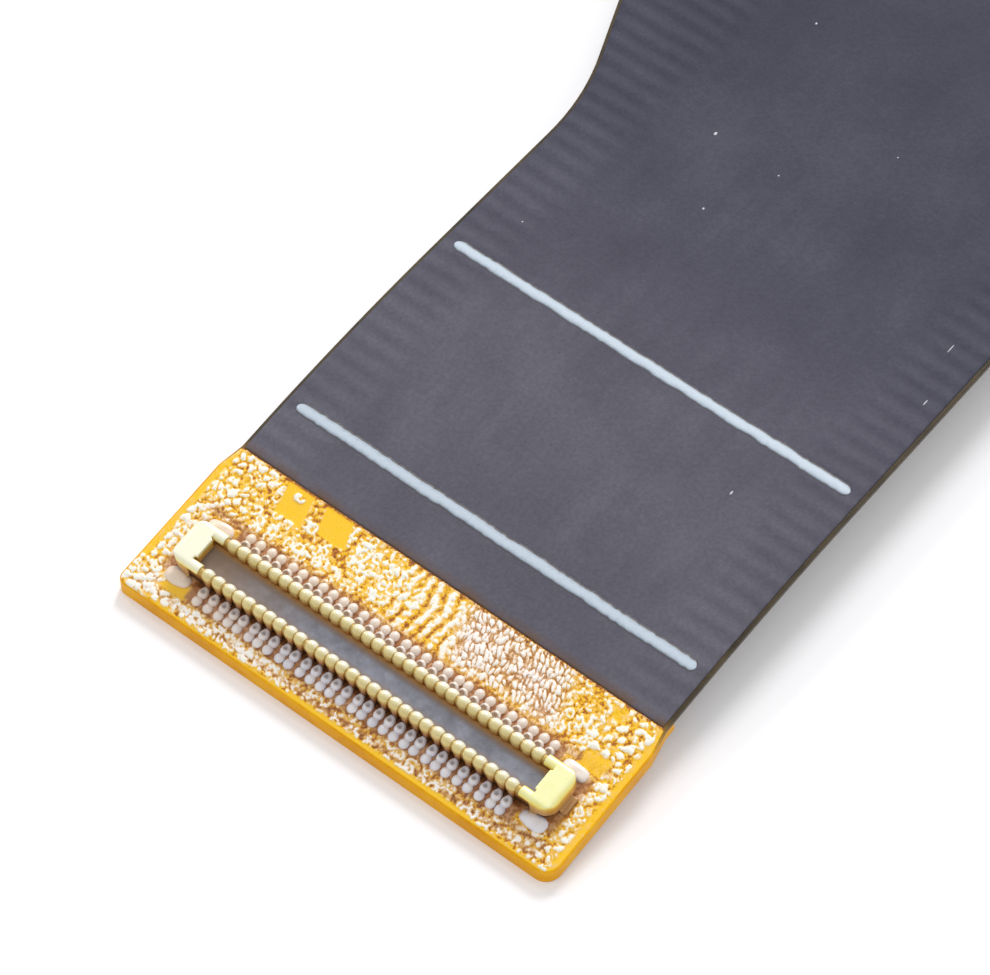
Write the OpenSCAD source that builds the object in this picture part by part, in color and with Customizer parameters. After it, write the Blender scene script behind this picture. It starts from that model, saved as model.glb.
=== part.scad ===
// Flat flex cable: a shielded flexible circuit with a 60-way board-to-board plug on each end.
// Both ends are alike, mirrored about X = 0, and the middle of the strip is wider to one side.
// The strip stands on the toes of its two stiff ends and bows gently up between them.

/* [Strip] */
// Length from toe to toe, measured along the strip
cable_len = 110; // [98:1:150]
// Width of the strip behind each plug
strip_w = 16.25; // [15.75:0.25:22]
// Thickness of the flexible circuit
flex_t = 0.2; // [0.14:0.02:0.3]
// Extra width of the middle, all on one side
flare_w = 4; // [2:0.5:8]
// Angle at which the edge runs out to the wide middle
flare_angle = 22.5; // [15:0.5:40]
// Radius where that edge leaves and joins the straight edges
flare_r = 9; // [3:0.5:10]
// Straight length from the bend to the start of the widening
flare_gap = 5.8; // [2:0.1:10]

/* [Bow] */
// Tilt of each stiff end
end_tilt = 8; // [3:0.5:10]
// Radius of the bend behind each stiff end
bend_r = 64; // [40:1:80]

/* [Stiff end] */
// Length of the bare circuit, from the toe to the edge of the shield
bare_len = 5.75; // [5.3:0.05:8]
// How far the stiffener runs on under the shield
stiffener_over = 0.35; // [0.2:0.05:1.5]
// Thickness of the stiffener
stiffener_t = 0.35; // [0.2:0.05:0.6]
// How far the bare end stands out past the strip on each side
ear_w = 0.175; // [0.05:0.025:0.4]
// Length of the taper between the bare end and the strip
ear_taper = 0.9; // [0.4:0.1:1.5]
// Radius of the toe corner on the plain side
toe_r = 0.55; // [0.2:0.05:1]
// Radius of the toe corner on the flared side
flared_toe_r = 0.3; // [0.1:0.05:1]

/* [Shield and print] */
// Thickness of the shield film
film_t = 0.05; // [0.03:0.01:0.1]
// Bare margin between the edges of the shield and the circuit
film_margin = 0.12; // [0.05:0.01:0.4]
// Width of the printed lines
line_w = 0.38; // [0.2:0.01:0.5]
// Thickness of the ink
line_t = 0.03; // [0.02:0.01:0.05]
// Gap between a printed line's end and the strip's edge
line_gap = 0.5; // [0.45:0.05:2]
// Distance from the shield's front edge to the first printed line
line_1 = 2.07; // [1:0.01:4]
// Distance from the first printed line to the second
line_step = 7.64; // [4:0.02:12]

/* [Plug] */
// Spacing of the contacts
pitch = 0.4; // [0.35:0.01:0.42]
// Contacts in each row
row_count = 30; // [20:1:31]
// Distance from the toe to the middle of the plug
plug_pos = 2.14; // [2.1:0.02:2.5]
// Distance between the middles of the two long walls
row_gap = 1.21; // [1.1:0.01:1.3]
// Thickness of the long walls
wall_t = 0.22; // [0.16:0.01:0.28]
// Height of the plug above the circuit
plug_h = 0.78; // [0.7:0.01:0.9]
// Thickness of the housing's floor
floor_t = 0.22; // [0.15:0.01:0.28]
// Distance from the last contact to the end of the recess
recess_over = 0.71; // [0.6:0.01:0.9]
// Thickness of the end walls
end_wall_t = 0.67; // [0.5:0.01:0.8]
// Radius of the housing's corners, seen from above
corner_r = 0.4; // [0.25:0.01:0.45]

/* [Contacts] */
// Thickness of the contact and fitting metal
metal_t = 0.08; // [0.06:0.01:0.1]
// Width of a contact
contact_w = 0.28; // [0.2:0.01:0.3]
// Inside radius where the tail turns outwards
foot_r = 0.05; // [0.03:0.01:0.08]
// Length of the flat part of a tail
tail_len = 0.42; // [0.3:0.01:0.5]
// Height at which the inner leg of a contact ends
inner_leg_v = 0.3; // [0.29:0.01:0.4]
// Length of the fitting's arms along the walls
arm_len = 0.4; // [0.2:0.01:0.45]
// Gap between the fitting's lip and its arms
lip_gap = 0.05; // [0.03:0.01:0.1]
// Height above the circuit at which the fitting's wrapped metal stops, except at its legs
skirt_v = 0.2; // [0.16:0.01:0.3]
// Length of each side foot of a fitting, along the row
foot_len = 0.55; // [0.5:0.05:0.9]
// Length of each side foot of a fitting, out from its bend
foot_reach = 0.26; // [0.2:0.01:0.5]
// Length of the fitting's foot beyond its end flap
flap_foot = 0.14; // [0.08:0.01:0.2]
// Thickness of solder under the tails
solder_t = 0.02; // [0.01:0.005:0.04]
// How far the solder runs out past a tail
solder_toe = 0.2; // [0.1:0.01:0.26]

/* [Hidden] */
pair_nodes = 30;               // near plug: a facing pair of contacts in each node
group_nodes = 10;              // far plug: the pairs shared out over fewer nodes

near_share = ceil(row_count / pair_nodes);
far_share = ceil(row_count / group_nodes);

board_t = flex_t + stiffener_t;
stiff_len = bare_len + stiffener_over;
bend_len = (bend_r + flex_t / 2) * end_tilt * PI / 180;
mid_x = cable_len / 2 - stiff_len - bend_len;      // half the level middle
mid_z = stiff_len * sin(end_tilt) + stiffener_t * cos(end_tilt) + bend_r * (1 - cos(end_tilt));
toe_x = mid_x + bend_r * sin(end_tilt) + stiff_len * cos(end_tilt) - stiffener_t * sin(end_tilt);
board_w = strip_w + 2 * ear_w;
centre_y = -(strip_w / 2 + flare_w - board_w / 2) / 2;   // the plugs' line, with the part centred on Y = 0
bend_steps = 16;
arc_steps = 10;

wall_top = plug_h - metal_t;
bend_v = wall_top - wall_t / 2;                    // height of the middle of each round wall top
leg_x = row_gap / 2 + wall_t / 2;                  // outer face of a long wall
foot_v = solder_t + metal_t + foot_r;
recess_len = (row_count - 1) * pitch + 2 * recess_over;
body_len = recess_len + 2 * end_wall_t;
foot_x = leg_x + metal_t + foot_r;                 // where the outer bends of the metal end

// ---- strip profile -------------------------------------------------------------------

// [X, Z] of a point beside the stiff end, u along it from the toe and v above the circuit's underside
function end_point(u, v) = let (x = u - stiff_len, z = bend_r + v)
    [-mid_x + x * cos(end_tilt) - z * sin(end_tilt), mid_z - bend_r + x * sin(end_tilt) + z * cos(end_tilt)];

// [X, Z] in the bend behind the stiff end, at an angle from the level middle
function bend_point(angle, v) =
    [-mid_x - (bend_r + v) * sin(angle), mid_z - bend_r + (bend_r + v) * cos(angle)];

// [X, Z] at a distance u from the toe, measured along the middle of the circuit
function path_point(u, v) = let (turned = (u - stiff_len) / bend_len * end_tilt)
    u < stiff_len ? end_point(u, v)
    : turned < end_tilt ? bend_point(end_tilt - turned, v)
    : [-mid_x + u - stiff_len - bend_len, mid_z + v];

// One side of a layer, from a distance u behind one toe to the same distance behind the other
function path_line(u, v) = let (
    near = concat([path_point(u, v)],
                  [for (i = [0:bend_steps]) bend_point(end_tilt * (1 - i / bend_steps), v)])
) concat(near, [for (i = [len(near) - 1:-1:0]) [-near[i][0], near[i][1]]]);

function reversed(points) = [for (i = [len(points) - 1:-1:0]) points[i]];

// Draws a profile of X and height over a length along Y
module along_y(len) {
    rotate([90, 0, 0]) linear_extrude(len, center = true) children();
}

// ---- strip outline -------------------------------------------------------------------

// Points of an arc about (cx, cy), from angle a0 to a1
function arc(cx, cy, r, a0, a1) =
    [for (i = [0:arc_steps]) let (a = a0 + (a1 - a0) * i / arc_steps) [cx + r * cos(a), cy + r * sin(a)]];

// The edge that runs out to the wide middle, drawn from the near end, at a given inset
function flare_edge(inset) = let (
    y1 = strip_w / 2 - inset,
    y2 = strip_w / 2 + flare_w - inset,
    x1 = -mid_x + flare_gap,
    rise = flare_w - 2 * flare_r * (1 - cos(flare_angle)),
    x2 = x1 + 2 * flare_r * sin(flare_angle) + rise / tan(flare_angle)
) concat(
    arc(x1, y1 + flare_r + inset, flare_r + inset, -90, -90 + flare_angle),
    arc(x2, y2 - flare_r + inset, flare_r - inset, 90 + flare_angle, 90)
);

// One side of the stiff end, from the toe to the strip
function end_edge(r) = let (
    toe = end_point(0, flex_t)[0],
    ear = path_point(bare_len - ear_taper, flex_t)[0],
    neck = path_point(bare_len, flex_t)[0]
) concat(
    arc(toe + r, board_w / 2 - r, r, 180, 90),
    [[ear, board_w / 2], [neck, strip_w / 2]]
);

// The half of an outline at -X, from its near side edges: the plain one at -Y and the flared one
module whole_outline(plain, flared) {
    half = concat(reversed([for (p = plain) [p[0], -p[1]]]), flared);
    translate([0, centre_y]) polygon(concat(half, reversed([for (p = half) [-p[0], p[1]]])));
}

module circuit_outline() {
    whole_outline(end_edge(toe_r), concat(end_edge(flared_toe_r), flare_edge(0)));
}

module shield_outline() {
    side = [[-toe_x, strip_w / 2 - film_margin]];
    whole_outline(side, concat(side, flare_edge(film_margin)));
}

// One layer of the strip, from v0 to v1 above the circuit's underside, that starts at u and has
// the given outline from above
module layer(v0, v1, u) {
    intersection() {
        along_y(4 * strip_w) polygon(concat(path_line(u, v0), reversed(path_line(u, v1))));
        linear_extrude(2 * mid_z) children();
    }
}

// ---- strip pieces --------------------------------------------------------------------

module flex_circuit() {
    color([0.86, 0.55, 0.12]) layer(0, flex_t, -board_t) circuit_outline();
}

module shield_film() {
    color([0.36, 0.36, 0.41]) layer(flex_t, flex_t + film_t, bare_len) shield_outline();
}

// Upright at the toe, and flat at Z = 0 where it rests
module stiffener() {
    color([0.8, 0.5, 0.1]) intersection() {
        along_y(2 * strip_w) polygon([end_point(-board_t, -stiffener_t), end_point(stiff_len, -stiffener_t),
                                      end_point(stiff_len, 0), end_point(-board_t, 0)]);
        linear_extrude(2 * mid_z) circuit_outline();
    }
}

// A line of ink with round ends, laid over the shield at a distance from its front edge
module printed_line(s) {
    reach = strip_w / 2 - line_gap - line_w / 2;
    color([0.78, 0.85, 0.9]) layer(flex_t + film_t, flex_t + film_t + line_t, bare_len)
        translate([path_point(bare_len + s, flex_t)[0], centre_y]) {
            for (k = [-1, 1]) translate([0, k * reach]) circle(d = line_w, $fn = 24);
            translate([-line_w / 2, -reach]) square([line_w, 2 * reach]);
        }
}

// ---- plug pieces ---------------------------------------------------------------------

// The near plug's own frame: rows along Y, outer row at -X, Z = 0 on top of the circuit
module plug_frame() {
    translate([-toe_x, centre_y, 0]) rotate([0, -end_tilt, 0]) translate([plug_pos, 0, board_t]) children();
}

module far() {
    mirror([1, 0, 0]) children();
}

// Mirrors what is drawn at +X to -X for the outer row
module row_side(outer) {
    mirror([outer ? 1 : 0, 0, 0]) children();
}

module wall_profile() {
    translate([row_gap / 2 - wall_t / 2, 0]) square([wall_t, bend_v]);
    translate([row_gap / 2, bend_v]) circle(d = wall_t, $fn = 32);
}

module both_walls_profile() {
    for (outer = [false, true]) mirror([outer ? 1 : 0, 0]) wall_profile();
}

// Cross-section or long section of the housing, its two top corners round, grown by e
module round_top(half, e) {
    for (s = [-1, 1]) translate([s * (half - wall_t / 2), bend_v]) circle(wall_t / 2 + e, $fn = 32);
    translate([-half - e, 0]) square([2 * (half + e), bend_v]);
    translate([-half + wall_t / 2, 0]) square([2 * half - wall_t, wall_top + e]);
}

// The housing without its recess, grown by e at the sides and top
module housing_block(e) {
    r = corner_r + e;
    x = leg_x - corner_r;
    y = body_len / 2 - corner_r;
    intersection() {
        along_y(body_len + 2 * e) round_top(leg_x, e);
        rotate([90, 0, 90]) linear_extrude(2 * (leg_x + e), center = true) round_top(body_len / 2, e);
        linear_extrude(plug_h) {
            for (sx = [-1, 1], sy = [-1, 1]) translate([sx * x, sy * y]) circle(r, $fn = 48);
            square([2 * (x + r), 2 * y], center = true);
            square([2 * x, 2 * (y + r)], center = true);
        }
    }
}

module housing() {
    color([0.4, 0.41, 0.47]) plug_frame() difference() {
        housing_block(0);
        along_y(recess_len) difference() {
            translate([-row_gap / 2, floor_t]) square([row_gap, plug_h]);
            both_walls_profile();
        }
    }
}

// Part of a ring of metal: the quarter or half that lies in a box from (x0, y0), size (w, h)
module ring_part(inner_r, x0, y0, w, h) {
    r = inner_r + metal_t;
    intersection() {
        difference() {
            circle(r, $fn = 32);
            circle(inner_r, $fn = 32);
        }
        translate([x0 * r, y0 * r]) square([w * r, h * r]);
    }
}

// Outer leg, foot bend and foot, from the height of the wall's bend down to the solder
module leg_profile(reach) {
    translate([leg_x, foot_v]) square([metal_t, bend_v - foot_v]);
    translate([foot_x, foot_v]) ring_part(foot_r, -1, -1, 1, 1);
    translate([foot_x, solder_t]) square([reach, metal_t]);
}

module contact_profile() {
    leg_profile(tail_len);
    translate([row_gap / 2, bend_v]) ring_part(wall_t / 2, -1, 0, 2, 1);
    translate([row_gap / 2 - wall_t / 2 - metal_t, inner_leg_v]) square([metal_t, bend_v - inner_leg_v]);
}

function contact_y(i) = ((row_count - 1) / 2 - i) * pitch;

// The facing pairs of contacts number first to first + count - 1
module contact_pairs(first, count) {
    color([0.9, 0.78, 0.4]) plug_frame()
        for (i = [first:min(first + count, row_count) - 1], outer = [false, true])
            translate([0, contact_y(i), 0]) row_side(outer) along_y(contact_w) contact_profile();
}

// Hold-down fitting at the +Y end: metal wrapped over the whole end of the housing, with a leg and
// foot at each side and at the outer end, a lip in the recess and an arm along each long wall
module fitting_shape() {
    lip_w = row_gap - wall_t - 2 * metal_t - 2 * lip_gap;
    flap_w = 2 * (leg_x - corner_r);
    leg_w = end_wall_t - corner_r;
    difference() {
        housing_block(metal_t);
        housing_block(0);
        translate([-plug_h * 2, -body_len, -plug_h])
            cube([plug_h * 4, body_len + recess_len / 2, plug_h * 3]);
        translate([-plug_h * 2, 0, -plug_h]) cube([plug_h * 4, body_len, plug_h + skirt_v]);
    }
    for (outer = [false, true]) row_side(outer) {
        translate([0, recess_len / 2 + leg_w / 2, 0]) along_y(leg_w) leg_profile(foot_reach);
        translate([foot_x, recess_len / 2, solder_t]) cube([foot_reach, foot_len, metal_t]);
        translate([0, recess_len / 2 - arm_len / 2, 0]) along_y(arm_len) translate([row_gap / 2, bend_v])
            ring_part(wall_t / 2, -1, 0, 2, 1);
    }
    translate([-lip_w / 2, recess_len / 2 - metal_t, inner_leg_v])
        cube([lip_w, metal_t, plug_h - inner_leg_v]);
    translate([0, body_len / 2, 0]) rotate([90, 0, 90]) linear_extrude(flap_w, center = true) {
        translate([0, foot_v]) square([metal_t, bend_v - foot_v]);
        translate([metal_t + foot_r, foot_v]) ring_part(foot_r, -1, -1, 1, 1);
        translate([metal_t + foot_r, solder_t]) square([flap_foot, metal_t]);
    }
}

module fitting(right) {
    color([0.95, 0.8, 0.3]) plug_frame() mirror([0, right ? 1 : 0, 0]) fitting_shape();
}

// Solder under a tail or foot and up its end, for metal of a given width and reach
module solder_joint(w, reach) {
    along_y(w) translate([foot_x, 0]) {
        square([reach + solder_toe, solder_t]);
        translate([reach, solder_t])
            polygon([[0, 0], [solder_toe, 0], [solder_toe / 2, metal_t / 2], [0, metal_t]]);
    }
}

module solder_row(outer) {
    color([0.78, 0.79, 0.82]) plug_frame() row_side(outer) {
        for (i = [0:row_count - 1]) translate([0, contact_y(i), 0]) solder_joint(contact_w, tail_len);
        for (s = [-1, 1])
            translate([0, s * (recess_len / 2 + foot_len / 2), 0]) solder_joint(foot_len, foot_reach);
    }
}

// ---- nodes ---------------------------------------------------------------------------

flex_circuit();
shield_film();
stiffener();  // stiffener_near
far() stiffener();  // stiffener_far
printed_line(line_1);  // line_near_1
printed_line(line_1 + line_step);  // line_near_2
far() printed_line(line_1);  // line_far_1
far() printed_line(line_1 + line_step);  // line_far_2
housing();  // housing_near
far() housing();  // housing_far
fitting(false);  // fitting_near_left
fitting(true);  // fitting_near_right
far() fitting(false);  // fitting_far_left
far() fitting(true);  // fitting_far_right
solder_row(true);  // solder_near_outer
solder_row(false);  // solder_near_inner
far() solder_row(true);  // solder_far_outer
far() solder_row(false);  // solder_far_inner
for (i = [1:pair_nodes])
    contact_pairs((i - 1) * near_share, near_share);
for (i = [1:group_nodes])
    far() contact_pairs((i - 1) * far_share, far_share);
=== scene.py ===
"""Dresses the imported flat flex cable: circuit, shield, printed lines, relief, plugs, stage and camera."""
import math
from contextlib import contextmanager

import bmesh
import bpy
import numpy as np
from mathutils import Matrix, Vector


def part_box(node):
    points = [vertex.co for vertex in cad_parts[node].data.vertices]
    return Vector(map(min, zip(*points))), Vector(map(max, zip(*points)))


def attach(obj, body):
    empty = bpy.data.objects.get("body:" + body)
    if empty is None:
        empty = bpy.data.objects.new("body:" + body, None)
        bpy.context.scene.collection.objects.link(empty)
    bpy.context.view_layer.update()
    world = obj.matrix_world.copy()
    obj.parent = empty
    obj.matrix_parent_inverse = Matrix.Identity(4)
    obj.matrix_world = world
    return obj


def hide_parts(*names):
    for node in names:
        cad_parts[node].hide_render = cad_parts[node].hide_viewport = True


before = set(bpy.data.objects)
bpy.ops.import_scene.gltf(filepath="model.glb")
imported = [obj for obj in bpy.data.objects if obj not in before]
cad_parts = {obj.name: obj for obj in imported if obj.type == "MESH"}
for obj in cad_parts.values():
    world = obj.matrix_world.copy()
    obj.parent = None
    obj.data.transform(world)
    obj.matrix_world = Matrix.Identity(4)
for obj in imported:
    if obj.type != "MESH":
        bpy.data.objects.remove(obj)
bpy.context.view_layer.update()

bl_info = {
    "name": "Flat Flex Cable",
    "version": (1, 0, 0),
    "blender": (4, 5, 0),
    "location": "3D View > Sidebar > Flex Cable",
    "description": "Builds the visible pieces of a shielded flexible circuit with board-to-board plugs",
    "category": "Object",
}

MM = 0.001

# ---- sizes shared with the solids, in millimetres ------------------------------------------

TILT = math.radians(8.0)
FLEX_T = 0.2
STIFF_T = 0.35
BOARD_T = FLEX_T + STIFF_T
FILM_T = 0.05
BARE = 5.75
STIFF_LEN = 6.1
EAR_TAPER = 0.9
TOE_R = 0.55
FLARED_TOE_R = 0.3
BEND_R = 64.0
PLUG_POS = 2.14
ROW_GAP = 1.21
WALL_T = 0.22
PLUG_H = 0.78
METAL_T = 0.08
FOOT_R = 0.05
TAIL = 0.42
PITCH = 0.4
ROW = 30
FLARE_R = 9.0
FLARE_ANGLE = math.radians(22.5)
FLARE_GAP = 5.8
LINE_W = 0.38
LINE_1 = 2.07
LINE_STEP = 7.64

BEND_LEN = (BEND_R + FLEX_T / 2) * TILT
low, high = (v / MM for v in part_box("stiffener_near"))
TOE_X = -low.x - BOARD_T * math.sin(TILT)
CENTRE_Y = (low.y + high.y) / 2
BOARD_W = high.y - low.y
low, high = (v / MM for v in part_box("flex_circuit"))
MID_Z = high.z - FLEX_T
MID_X = TOE_X - BEND_R * math.sin(TILT) - STIFF_LEN * math.cos(TILT) + STIFF_T * math.sin(TILT)
HALF_LEN = MID_X + STIFF_LEN + BEND_LEN
FLARE_Y = high.y - CENTRE_Y
low, high = (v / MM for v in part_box("shield_film"))
FILM_MARGIN = FLARE_Y - (high.y - CENTRE_Y)
STRIP_HALF = CENTRE_Y - low.y + FILM_MARGIN
LEG_X = ROW_GAP / 2 + WALL_T / 2
BEND_V = PLUG_H - METAL_T - WALL_T / 2


def side_point(u, v):
    """X and Z, in mm, of points u along the circuit from the near toe and v above its underside."""
    u, v = np.broadcast_arrays(np.asarray(u, float), np.asarray(v, float))
    d = np.minimum(u, 2 * HALF_LEN - u)
    over = np.clip(d - STIFF_LEN, 0, BEND_LEN)
    angle = TILT * (1 - over / BEND_LEN)
    stiff = np.minimum(d - STIFF_LEN, 0)
    level = np.maximum(d - STIFF_LEN - BEND_LEN, 0)
    x = -MID_X - (BEND_R + v) * np.sin(angle) + stiff * math.cos(TILT) + level
    z = MID_Z - BEND_R + (BEND_R + v) * np.cos(angle) + stiff * math.sin(TILT)
    return np.where(u <= HALF_LEN, x, -x), z


def on_strip(u, y, v):
    """Model points in metres for circuit coordinates in mm."""
    x, z = side_point(u, v)
    y = np.broadcast_to(np.asarray(y, float), x.shape) + CENTRE_Y
    return np.stack([x, y, z], axis=-1) * MM


def flare_side(u, inset=0.0):
    """Distance from the plugs' line to the flared edge."""
    d = np.minimum(u, 2 * HALF_LEN - u) - STIFF_LEN - BEND_LEN - FLARE_GAP
    r1, r2 = FLARE_R + inset, FLARE_R - inset
    s, c = math.sin(FLARE_ANGLE), math.cos(FLARE_ANGLE)
    rise = FLARE_Y - STRIP_HALF - 2 * FLARE_R * (1 - c)
    run = 2 * FLARE_R * s + rise / math.tan(FLARE_ANGLE)
    base, top = STRIP_HALF - inset, FLARE_Y - inset
    first = base + r1 - np.sqrt(np.maximum(r1 ** 2 - np.clip(d, 0, r1 * s) ** 2, 0))
    straight = base + r1 * (1 - c) + (d - r1 * s) * math.tan(FLARE_ANGLE)
    last = top - r2 + np.sqrt(np.maximum(r2 ** 2 - np.clip(run - d, 0, r2 * s) ** 2, 0))
    return np.where(d < r1 * s, first, np.where(d < run - r2 * s, straight, last))


def end_half(u, r=TOE_R):
    """Half width of the bare end, with its round toe corner and the taper to the strip."""
    d = np.minimum(u, 2 * HALF_LEN - u)
    toe = BOARD_W / 2 - r + np.sqrt(np.maximum(r ** 2 - np.clip(r - d, 0, r) ** 2, 0))
    share = np.clip((d - BARE + EAR_TAPER) / EAR_TAPER, 0, 1)
    return toe + (STRIP_HALF - BOARD_W / 2) * share


# ---- mesh helpers --------------------------------------------------------------------------

def placed(name, data):
    """A new object of the scene for a mesh, a lamp or a camera."""
    obj = bpy.data.objects.new(name, data)
    bpy.context.scene.collection.objects.link(obj)
    return obj


def make_object(name, verts, faces):
    mesh = bpy.data.meshes.new(name)
    mesh.from_pydata([tuple(v) for v in verts], [], [tuple(f) for f in faces])
    mesh.update()
    mesh.shade_smooth()
    return placed(name, mesh)


def grid_faces(rows, cols, wrap=False, start=0):
    i = np.arange(rows - 1)[:, None]
    j = np.arange(cols if wrap else cols - 1)[None, :]
    a = start + i * cols + j
    b = start + i * cols + (j + 1) % cols
    return np.stack([a, b, b + cols, a + cols], axis=-1).reshape(-1, 4)


@contextmanager
def edited(mesh):
    """A bmesh of the mesh that is written back at the end."""
    bm = bmesh.new()
    bm.from_mesh(mesh)
    yield bm
    bm.to_mesh(mesh)
    bm.free()
    mesh.update()


def recalculated(mesh):
    with edited(mesh) as bm:
        bmesh.ops.recalc_face_normals(bm, faces=bm.faces)


def point_values(mesh, **layers):
    for name, values in layers.items():
        attribute = mesh.attributes.new(name, "FLOAT", "POINT")
        attribute.data.foreach_set("value", np.asarray(values, np.float32).ravel())


def sharp_by_angle(mesh, degrees):
    mesh.shade_smooth()
    with edited(mesh) as bm:
        for edge in bm.edges:
            edge.smooth = len(edge.link_faces) == 2 and edge.calc_face_angle(3) < math.radians(degrees)


def finished(obj, material, nodes=()):
    obj.data.materials.clear()
    obj.data.materials.append(material)
    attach(obj, "root")
    if nodes:
        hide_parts(*nodes)
    return obj


def far_copy(obj, name):
    """The same piece at the far end, mirrored about X = 0 with its faces turned back outwards."""
    mesh = obj.data.copy()
    mesh.name = name
    mesh.transform(Matrix.Scale(-1, 4, (1, 0, 0)))
    mesh.flip_normals()
    return placed(name, mesh)


def plug_matrix():
    """From the plug's own frame in mm to the model in metres: rows along Y, Z up from the circuit."""
    turn = Matrix.Rotation(-TILT, 4, "Y")
    place = Matrix.Translation(Vector((-TOE_X, CENTRE_Y, 0)))
    return Matrix.Scale(MM, 4) @ place @ turn @ Matrix.Translation(Vector((PLUG_POS, 0, BOARD_T)))


# ---- pattern helpers -----------------------------------------------------------------------

def hashed(i, j, k):
    n = np.sin(i * 127.1 + j * 311.7 + k * 74.7) * 43758.5453
    return n - np.floor(n)


def cells(x, y, size, seed, jitter=0.9):
    """Distances to the nearest and second nearest cell point, and a number of the nearest cell."""
    gx, gy = np.floor(x / size), np.floor(y / size)
    best = np.full(x.shape, 9.0)
    second = np.full(x.shape, 9.0)
    tag = np.zeros(x.shape)
    for dx in (-1, 0, 1):
        for dy in (-1, 0, 1):
            cx, cy = gx + dx, gy + dy
            px = cx + 0.5 + jitter * (hashed(cx, cy, seed) - 0.5)
            py = cy + 0.5 + jitter * (hashed(cx, cy, seed + 3) - 0.5)
            d = np.hypot(x / size - px, y / size - py)
            nearer = d < best
            second = np.where(nearer, best, np.minimum(second, d))
            tag = np.where(nearer, hashed(cx, cy, seed + 7), tag)
            best = np.where(nearer, d, best)
    return best, second, tag


def waves(x, y, size, seed):
    """Smooth noise from 0 to 1."""
    gx, gy = np.floor(x / size), np.floor(y / size)
    fx, fy = x / size - gx, y / size - gy
    fx, fy = fx * fx * (3 - 2 * fx), fy * fy * (3 - 2 * fy)
    a, b = hashed(gx, gy, seed), hashed(gx + 1, gy, seed)
    c, d = hashed(gx, gy + 1, seed), hashed(gx + 1, gy + 1, seed)
    return (a * (1 - fx) + b * fx) * (1 - fy) + (c * (1 - fx) + d * fx) * fy


def ramp(x, low, high):
    t = np.clip((x - low) / (high - low), 0, 1)
    return t * t * (3 - 2 * t)


# ---- node helpers --------------------------------------------------------------------------

def linear(r, g, b):
    """A colour written as 0-255 values, for a shader."""
    def one(c):
        c /= 255
        return c / 12.92 if c <= 0.04045 else ((c + 0.055) / 1.055) ** 2.4
    return (one(r), one(g), one(b), 1.0)


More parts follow.
